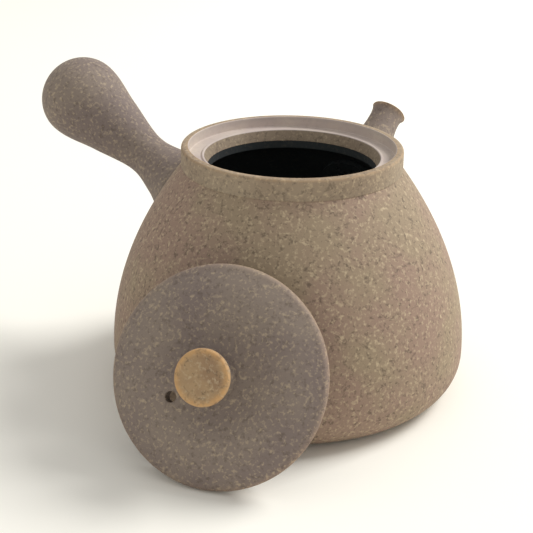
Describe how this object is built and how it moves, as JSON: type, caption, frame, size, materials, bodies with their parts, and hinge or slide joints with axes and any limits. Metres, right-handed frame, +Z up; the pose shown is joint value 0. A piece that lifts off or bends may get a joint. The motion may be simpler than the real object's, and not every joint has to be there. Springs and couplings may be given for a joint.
{
  "type": "kyusu teapot",
  "caption": "Side-handled stoneware teapot with a short spout, an inner strainer and a knobbed lid that leans on its front.",
  "frame": {"origin": "middle of the pot's flat base, on the surface it stands on", "axes": "+Z up along the pot's axis; +Y away from the side that the lid leans on, +X to the right of it; the handle points back left and the spout back right"},
  "size_m": [0.1398, 0.1405, 0.0902],
  "materials": {
    "pot_clay": "unglazed, matt, speckled",
    "rim_clay": "unglazed, turned smooth",
    "ash_clay": "unglazed, matt, ash grey",
    "inside_clay": "unglazed, smoke black",
    "knob_clay": "unglazed, worn at the edge"
  },
  "bodies": {
    "pot": {"pot_body": "pot_clay", "mouth_collar": "rim_clay", "spout": "ash_clay", "tea_strainer": "inside_clay", "handle": "ash_clay"},
    "lid_assembly": {"lid": "ash_clay", "lid_knob": "knob_clay"}
  },
  "joints": [
    {"name": "lid_lift", "type": "slide", "parent": "pot", "child": "lid_assembly", "axis": [-0.2185, -0.6725, 0.7071], "range_m": [0, 0.12]}
  ]
}
